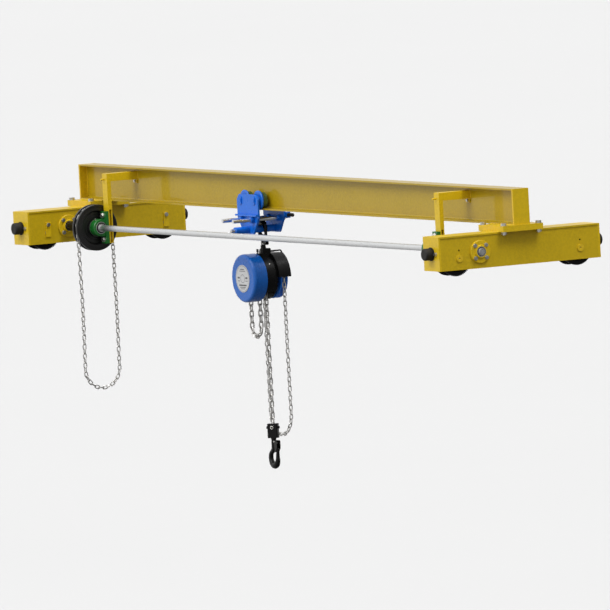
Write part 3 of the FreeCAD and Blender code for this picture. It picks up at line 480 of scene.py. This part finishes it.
# ---------------------------------------------------------------- materials
class Nodes:
    """A short way to build a node tree."""

    def __init__(self, name):
        self.material = bpy.data.materials.new(name)
        self.material.use_nodes = True
        self.tree = self.material.node_tree
        self.shader = self.tree.nodes["Principled BSDF"]

    def add(self, kind, inputs=(), **settings):
        node = self.tree.nodes.new(kind)
        for key, value in settings.items():
            setattr(node, key, value)
        for key, value in dict(inputs).items():
            self.put(value, node.inputs[key])
        return node

    def put(self, value, socket):
        if isinstance(value, bpy.types.NodeSocket):
            self.tree.links.new(value, socket)
        else:
            socket.default_value = value

    def set(self, name, value):
        self.put(value, self.shader.inputs[name])

    def place(self, scale=(1, 1, 1), centre=(0, 0, 0)):
        coord = self.add("ShaderNodeTexCoord")
        shifted = self.add("ShaderNodeVectorMath", {0: coord.outputs["Object"], 1: centre},
                           operation="SUBTRACT")
        return self.add("ShaderNodeVectorMath", {0: shifted.outputs[0], 1: scale},
                        operation="MULTIPLY").outputs[0]

    def noise(self, scale, detail=4.0, rough=0.55, at=None):
        node = self.add("ShaderNodeTexNoise", {"Scale": scale, "Detail": detail, "Roughness": rough})
        self.put(at or self.place(), node.inputs["Vector"])
        return node.outputs["Fac"]

    def span(self, value, low, high, start=0.3, end=0.7):
        """value from start to end becomes low to high, held outside that."""
        return self.add("ShaderNodeMapRange", {"Value": value, "From Min": start, "From Max": end,
                                               "To Min": low, "To Max": high}).outputs["Result"]

    def mix(self, factor, one, two):
        node = self.add("ShaderNodeMix", data_type="RGBA")
        self.put(factor, node.inputs[0])
        self.put(one, node.inputs[6])
        self.put(two, node.inputs[7])
        return node.outputs[2]

    def math(self, operation, one, two=None):
        node = self.add("ShaderNodeMath", {0: one}, operation=operation)
        if two is not None:
            self.put(two, node.inputs[1])
        return node.outputs[0]

    def blend(self, factor, one, two):
        """one where factor is 0, two where it is 1."""
        node = self.add("ShaderNodeMix", data_type="FLOAT")
        for index, value in enumerate((factor, one, two)):
            self.put(value, node.inputs[(0, 2, 3)[index]])
        return node.outputs[0]

    def bump(self, height, strength, distance):
        node = self.add("ShaderNodeBump", {"Height": height, "Strength": strength, "Distance": distance})
        self.put(node.outputs["Normal"], self.shader.inputs["Normal"])


def shade(colour, factor):
    return (min(1.0, colour[0] * factor), min(1.0, colour[1] * factor), min(1.0, colour[2] * factor), 1)


def paint(name, colour, roughness, coat=0.0, dust=0.12, peel=0.05, level=0.5, coat_rough=0.12, patch=None):
    """Sprayed enamel: faint drifts of tone, orange peel and a little dull dust.

    patch is (mask, colour, roughness, metallic) for a part of the surface with another finish.
    """
    n = Nodes(name)
    drift = n.span(n.noise(5, 5), 0, 1)
    grain = n.span(n.noise(90, 3), 0, 1, 0.35, 0.65)
    tone = n.mix(drift, shade(colour, 0.90), shade(colour, 1.04))
    tone = n.mix(grain, tone, shade(colour, 1.10))
    specks = n.span(n.noise(160, 3), 0, dust, 0.55, 0.8)
    base = n.mix(specks, tone, shade(tuple(0.6 * c + 0.05 for c in colour), 1.0))
    rough = n.span(n.noise(26, 4), roughness - 0.05, roughness + 0.08)
    if patch:
        mask, other, other_rough, metallic = patch
        where = mask(n)
        base = n.mix(where, base, shade(other, 1.0))
        rough = n.blend(where, rough, other_rough)
        n.set("Metallic", n.blend(where, 0.0, metallic))
    n.set("Base Color", base)
    n.set("Roughness", rough)
    n.set("Specular IOR Level", level)
    n.set("Coat Weight", coat)
    n.set("Coat Roughness", coat_rough)
    n.bump(n.noise(700, 2), peel, 0.0004)
    return n.material


def steel(name, colour, roughness, stretch=(1, 1, 1), scale=120, metallic=1.0, stain=0.2, bump=0.08,
          patch=None):
    """Bare or plated steel: fine marks drawn out by stretch, and darker stains.

    patch is (mask, colour, roughness) for the parts that were painted.
    """
    n = Nodes(name)
    marks = n.noise(scale, 5, 0.6, n.place(stretch))
    tone = n.mix(n.span(marks, 0, 1), shade(colour, 0.84), shade(colour, 1.08))
    stains = n.span(n.noise(14, 5, 0.6), 0, stain, 0.5, 0.75)
    base = n.mix(stains, tone, shade((colour[0] * 0.55, colour[1] * 0.5, colour[2] * 0.43), 1.0))
    rough = n.span(marks, roughness - 0.06, roughness + 0.1)
    if patch:
        mask, paint_colour, paint_rough = patch
        where = mask(n)
        base = n.mix(where, base, shade(paint_colour, 1.0))
        rough = n.blend(where, rough, paint_rough)
        metallic = n.blend(where, metallic, 0.0)
    n.set("Base Color", base)
    n.set("Metallic", metallic)
    n.set("Roughness", rough)
    n.bump(marks, bump, 0.0003)
    return n.material


def beyond(axis, distance):
    """A mask of what lies further than distance from the middle plane across axis."""
    def mask(n):
        parts = n.add("ShaderNodeSeparateXYZ", {0: n.place()})
        away = n.math("ABSOLUTE", parts.outputs[axis])
        return n.math("GREATER_THAN", away, distance)
    return mask


def between(axis, near, far):
    """A mask of what lies from near to far from the middle plane across axis."""
    def mask(n):
        return n.math("SUBTRACT", beyond(axis, near)(n), beyond(axis, far)(n))
    return mask


def within(axis, distance):
    """A mask of what lies nearer than distance to the middle plane across axis."""
    def mask(n):
        return n.math("SUBTRACT", 1.0, beyond(axis, distance)(n))
    return mask


# Rings are (radius, half thickness); ruled blocks are (x, z, half width, half height).
LABEL_RINGS = ((0.0655, 0.0009), (0.0205, 0.0012))
LABEL_BLOCKS = ((0.0, 0.047, 0.020, 0.0022), (0.0, 0.038, 0.030, 0.0016), (-0.040, 0.004, 0.011, 0.0045),
                (0.040, 0.004, 0.011, 0.0045), (-0.040, -0.012, 0.011, 0.0016),
                (0.040, -0.012, 0.011, 0.0016), (0.0, -0.034, 0.038, 0.0036), (0.0, -0.045, 0.030, 0.0016),
                (0.0, -0.052, 0.020, 0.0016))


def printed(n):
    """A mask of plain rings and ruled lines on the round label."""
    def near(value, middle_value, half):
        return n.math("LESS_THAN", n.math("ABSOLUTE", n.math("SUBTRACT", value, middle_value)), half)

    parts = n.add("ShaderNodeSeparateXYZ", {0: n.place((1, 1, 1), (hoist_x, 0, HOIST_Z))})
    x, z = parts.outputs[0], parts.outputs[2]
    radius = n.math("SQRT", n.math("ADD", n.math("MULTIPLY", x, x), n.math("MULTIPLY", z, z)))
    rings = [near(radius, size, thick) for size, thick in LABEL_RINGS]
    marks = n.math("MAXIMUM", *rings)
    for across_by, height, wide, thick in LABEL_BLOCKS:
        block = n.math("MULTIPLY", near(z, height, thick), near(x, across_by, wide))
        marks = n.math("MAXIMUM", marks, block)
    return marks


YELLOW = (0.62, 0.42, 0.006)
BLUE = (0.003, 0.13, 0.60)
BLACK = (0.002, 0.002, 0.002)
# The roller tread's dark green is a painted reflection: the yellow girder mirrored in the steel tread, laid
# into a plain colour.
TREAD_REFLECTION_TINT = (0.075, 0.13, 0.045)
BRIGHT = (0.80, 0.81, 0.82)
# The girder's yellow is darker than YELLOW as painted shade: it stands in for the shade under the top flange
# on the web.
GIRDER_YELLOW_PAINTED_SHADE = (0.395, 0.268, 0.005)
# The carriages' yellow is darker than YELLOW as painted shade: it stands in for the soft shadow under the
# saddle plates on the box sides.
CARRIAGE_YELLOW_PAINTED_SHADE = (0.53, 0.362, 0.0055)
# Where one finish ends and another begins, measured from the middle plane.
ROLLER_FACE, PIN_FACE, AXLE_PAINT = 0.0470, 0.0665, 2.2037
ROD_PAINT = (0.0505, 0.0995)
materials = {
    "yellow_paint": paint("yellow_enamel", YELLOW, 0.38, 0.12, 0.05, 0.05, 0.3),
    "zinc_bolts": steel("zinc_plating", (0.62, 0.61, 0.57), 0.34, scale=260),
    "rubber": paint("rubber", (0.014, 0.012, 0.011), 0.62, 0.0, 0.25, 0.25, 0.3),
    "black_iron": paint("black_iron", BLACK, 0.34, 0.0, 0.04, 0.2, 0.22),
    "bright_steel": steel("drawn_steel", (0.74, 0.75, 0.75), 0.28, (1, 60, 60), 20, 1.0, 0.1, 0.04),
    "gear_steel": steel("gear_steel", (0.30, 0.30, 0.30), 0.38, scale=200),
    "green_paint": paint("green_enamel", (0.004, 0.115, 0.012), 0.34, 0.2),
    "chain_steel": steel("chain_zinc", (0.60, 0.59, 0.57), 0.30, scale=500, stain=0.35),
    "blue_paint": paint("blue_enamel", BLUE, 0.30, 0.15, 0.03, 0.05, 0.35),
    "roller_steel": paint("roller_blue", TREAD_REFLECTION_TINT, 0.30, 0.0, 0.10, 0.05, 0.5, 0.12,
                          (beyond(1, ROLLER_FACE), BLUE, 0.30, 0.0)),
    "chrome": steel("chrome", (0.72, 0.73, 0.74), 0.14, (1, 30, 1), 30, 1.0, 0.05, 0.01),
    "black_paint": paint("black_enamel", BLACK, 0.26, 0.0, 0.03, 0.05, 0.22),
    "label": paint("label_plate", (0.49, 0.495, 0.50), 0.33, 0.1, 0.03, 0.03, 0.5, 0.12,
                   (printed, (0.06, 0.06, 0.065), 0.4, 0.0)),
}
special = {
    "gear_cover": paint("cover_enamel", (0.003, 0.10, 0.42), 0.26, 0.2, 0.03, 0.05, 0.35, 0.08),
    "drive_chain_wheel": paint("wheel_enamel", (0.007, 0.007, 0.0065), 0.34, 0.15, 0.05, 0.1, 0.5),
    "trolley_spacer_rods": steel("rod_steel", BRIGHT, 0.16, (1, 30, 1), 30, 1.0, 0.05, 0.01,
                                 (between(1, *ROD_PAINT), BLUE, 0.32)),
    "roller_pins": steel("pin_steel", BRIGHT, 0.3, (1, 30, 1), 30, 1.0, 0.1, 0.02,
                         (beyond(1, PIN_FACE), BLUE, 0.32)),
    "main_girder": paint("girder_enamel", GIRDER_YELLOW_PAINTED_SHADE, 0.34, 0.45, 0.05, 0.03, 0.15, 0.07),
    "wheel_axles": paint("axle_steel", YELLOW, 0.36, 0.2, 0.1, 0.05, 0.5, 0.12,
                         (within(0, AXLE_PAINT), (0.5, 0.5, 0.5), 0.35, 1.0)),
}
# The carriage boxes get the darker yellow, a painted shade, while their end plates keep YELLOW.
for side in ("left", "right"):
    special["carriage_" + side] = paint("carriage_enamel_" + side, CARRIAGE_YELLOW_PAINTED_SHADE, 0.38, 0.12, 0.05,
                                        0.05, 0.3)
for node_name, node_object in nodes.items():
    node_object.data.materials.clear()
    node_object.data.materials.append(special.get(node_name, materials[slots[node_name]]))
for item in bpy.context.scene.objects:
    if item.type == "MESH" and item.name in slots and item.name not in nodes:
        item.data.materials.append(materials[slots[item.name]])

# ---------------------------------------------------------------- floor and light
FLOOR_Z, FLOOR_REACH = -3, 400.0
WALL_RADIUS, WALL_HEIGHT, WALL_SIDES = 380.0, 400.0, 96
FLOOR_GREYS, WALL_GREYS = (0.544, 0.554), (0.885, 0.89)
GREY_DRIFT = 0.2


def staged(name, mesh, material):
    """Put a mesh in the scene that isn't part of the object."""
    obj = bpy.data.objects.new(name, mesh)
    bpy.context.collection.objects.link(obj)
    mesh.materials.append(material)
    obj.visible_diffuse = False
    obj.visible_glossy = False
    return obj


def drifting_grey(n, greys):
    """A grey that drifts slowly between two levels."""
    one, two = [(level, level, level, 1) for level in greys]
    return n.mix(n.noise(GREY_DRIFT), one, two)


floor_mesh = bpy.data.meshes.new("floor")
corners = [(-1, -1), (1, -1), (1, 1), (-1, 1)]
floor_mesh.from_pydata([(FLOOR_REACH * a, FLOOR_REACH * b, FLOOR_Z) for a, b in corners], [], [(0, 1, 2, 3)])
pale = Nodes("pale_floor")
pale.set("Base Color", drifting_grey(pale, FLOOR_GREYS))
pale.set("Roughness", 0.9)
pale.set("Specular IOR Level", 0.0)
staged("floor", floor_mesh, pale.material)

wall_mesh = bpy.data.meshes.new("backdrop")
bm = bmesh.new()
bmesh.ops.create_cone(bm, cap_ends=False, segments=WALL_SIDES, radius1=WALL_RADIUS, radius2=WALL_RADIUS,
                      depth=WALL_HEIGHT, matrix=Matrix.Translation((0, 0, FLOOR_Z + WALL_HEIGHT / 2)))
bm.to_mesh(wall_mesh)
bm.free()
glow = Nodes("pale_backdrop")
glow.set("Base Color", (0, 0, 0, 1))
glow.set("Specular IOR Level", 0.0)
glow.set("Emission Color", drifting_grey(glow, WALL_GREYS))
glow.set("Emission Strength", 1.0)
wall = staged("backdrop", wall_mesh, glow.material)
wall.visible_shadow = False

SKY_TOWARD = (-0.25, -0.35, 0.55)
SKY_SPAN = (("From Min", -0.5), ("From Max", 0.7), ("To Min", 0.15), ("To Max", 1.1))
# Each sun is a name, strength, angle in degrees and the direction it shines from.
SUNS = (("front_light", 1.35, 35, (0.0, -0.69, 0.72)), ("end_light", 1.7, 25, (0.45, 0.18, 0.87)))
world = bpy.data.worlds.new("studio")
bpy.context.scene.world = world
world.use_nodes = True
sky = world.node_tree
direction = sky.nodes.new("ShaderNodeTexCoord")
facing = sky.nodes.new("ShaderNodeVectorMath")
facing.operation = "DOT_PRODUCT"
facing.inputs[1].default_value = SKY_TOWARD
ramp = sky.nodes.new("ShaderNodeMapRange")
for name, value in SKY_SPAN:
    ramp.inputs[name].default_value = value
sky.links.new(direction.outputs["Generated"], facing.inputs[0])
sky.links.new(facing.outputs["Value"], ramp.inputs["Value"])
sky.links.new(ramp.outputs["Result"], sky.nodes["Background"].inputs["Strength"])
sky.nodes["Background"].inputs["Color"].default_value = (1, 1, 1, 1)
for name, energy, spread, toward in SUNS:
    light_data = bpy.data.lights.new(name, "SUN")
    light_data.energy = energy
    light_data.angle = math.radians(spread)
    light = bpy.data.objects.new(name, light_data)
    light.rotation_euler = Vector(toward).to_track_quat("Z", "Y").to_euler()
    bpy.context.collection.objects.link(light)
bpy.context.scene.view_settings.view_transform = "Standard"
